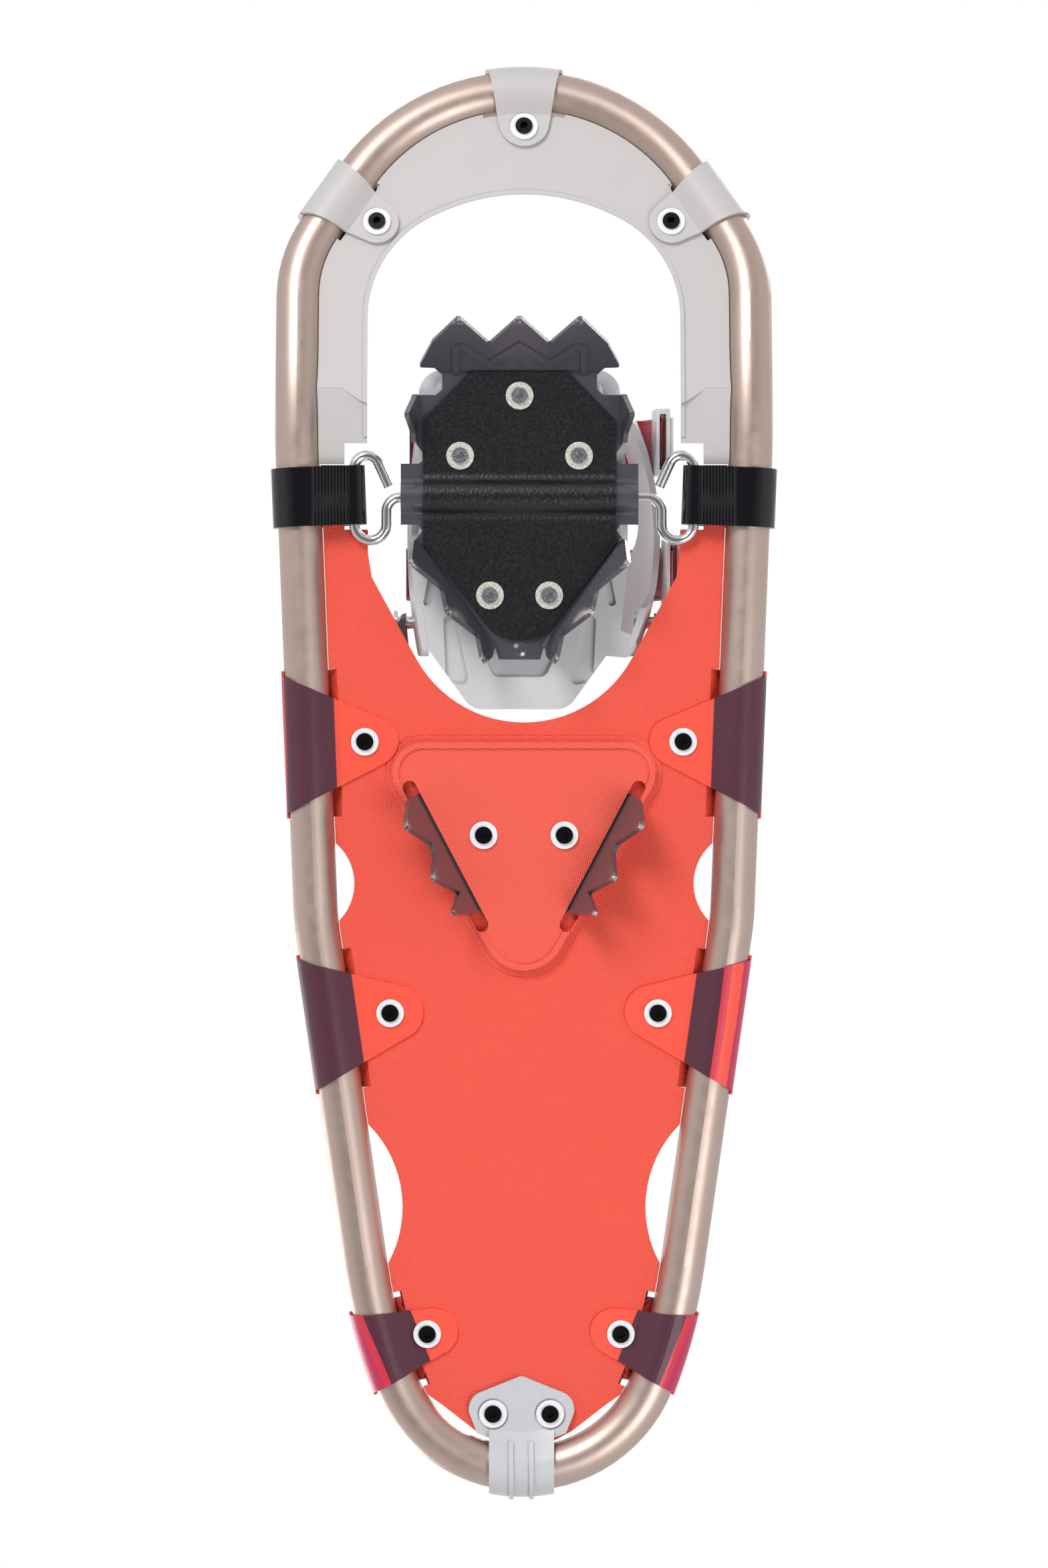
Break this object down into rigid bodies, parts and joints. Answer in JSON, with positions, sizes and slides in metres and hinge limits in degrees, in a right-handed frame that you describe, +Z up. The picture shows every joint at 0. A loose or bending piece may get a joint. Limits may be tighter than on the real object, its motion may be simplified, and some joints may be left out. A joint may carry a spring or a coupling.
{
  "type": "snowshoe",
  "caption": "Tube-framed snowshoe with a coated fabric deck, a moulded toe deck, steel crampons and a heel-lifting hinged binding with a pivoting heel strap.",
  "frame": {"origin": "centre of the overall box at the height of the crampon tips", "axes": "+Z up with the boot side up, -Y towards the toe, +Y towards the tail, +X towards the wearer's left side, where the sliders and buckle are"},
  "size_m": [0.206, 0.5868, 0.124],
  "materials": {
    "frame_tube": "satin anodised, rose bronze",
    "toe_deck": "moulded urethane, fine satin",
    "deck": "coated fabric, fine diamond grain, printed on top",
    "heel_patch": "moulded film, satin",
    "tail_clip": "satin moulding",
    "urethane": "glossy urethane",
    "wire": "bright zinc",
    "dark_rivet": "blackened steel",
    "white_washer": "white",
    "crampon_steel": "glossy dark grey powder coat",
    "pivot_plate": "leather grain",
    "bushing": "white",
    "binding_base": "fine grain moulding",
    "steel_rivet": "zinc plated",
    "nickel_washer": "nickel plated",
    "webbing": "woven nylon",
    "slider": "white moulding",
    "heel_strap": "matte moulded rubber",
    "lever": "fine grain"
  },
  "bodies": {
    "frame": {"frame_tube": "frame_tube", "toe_deck": "toe_deck", "deck": "deck", "heel_patch": "heel_patch", "heel_crampon": "crampon_steel", "tail_clip": "tail_clip", "strap_left": "urethane", "strap_right": "urethane", "axle_rod": "wire", "toe_rivets": "dark_rivet", "toe_washers": "white_washer", "deck_rivets": "dark_rivet", "deck_washers": "white_washer", "heel_rivets": "dark_rivet", "heel_washers": "white_washer", "clip_rivets": "dark_rivet", "clip_washers": "white_washer"},
    "binding": {"toe_crampon": "crampon_steel", "pivot_plate": "pivot_plate", "axle_bushings": "bushing", "binding_base": "binding_base", "binding_rivets": "steel_rivet", "binding_washers": "nickel_washer", "toe_webbing": "webbing", "instep_webbing": "webbing", "toe_slider": "slider", "instep_slider": "slider", "heel_pivots": "steel_rivet"},
    "heel_loop": {"heel_strap": "heel_strap", "heel_buckle": "slider", "lever_pin": "steel_rivet"},
    "lever": {"heel_lever": "lever"}
  },
  "joints": [
    {"name": "binding_pivot", "type": "hinge", "parent": "frame", "child": "binding", "pos_m": [0, -0.11395, 0.024], "axis": [1, 0, 0], "range_deg": [0, 60]},
    {"name": "heel_strap_pivot", "type": "hinge", "parent": "binding", "child": "heel_loop", "pos_m": [-0.0018, -0.06365, 0.0432], "axis": [1, 0, 0], "range_deg": [0, 50]},
    {"name": "buckle_lever", "type": "hinge", "parent": "heel_loop", "child": "lever", "pos_m": [0.05528, -0.00465, 0.05356], "axis": [0, 0.1564, -0.9877], "range_deg": [0, 95]}
  ]
}
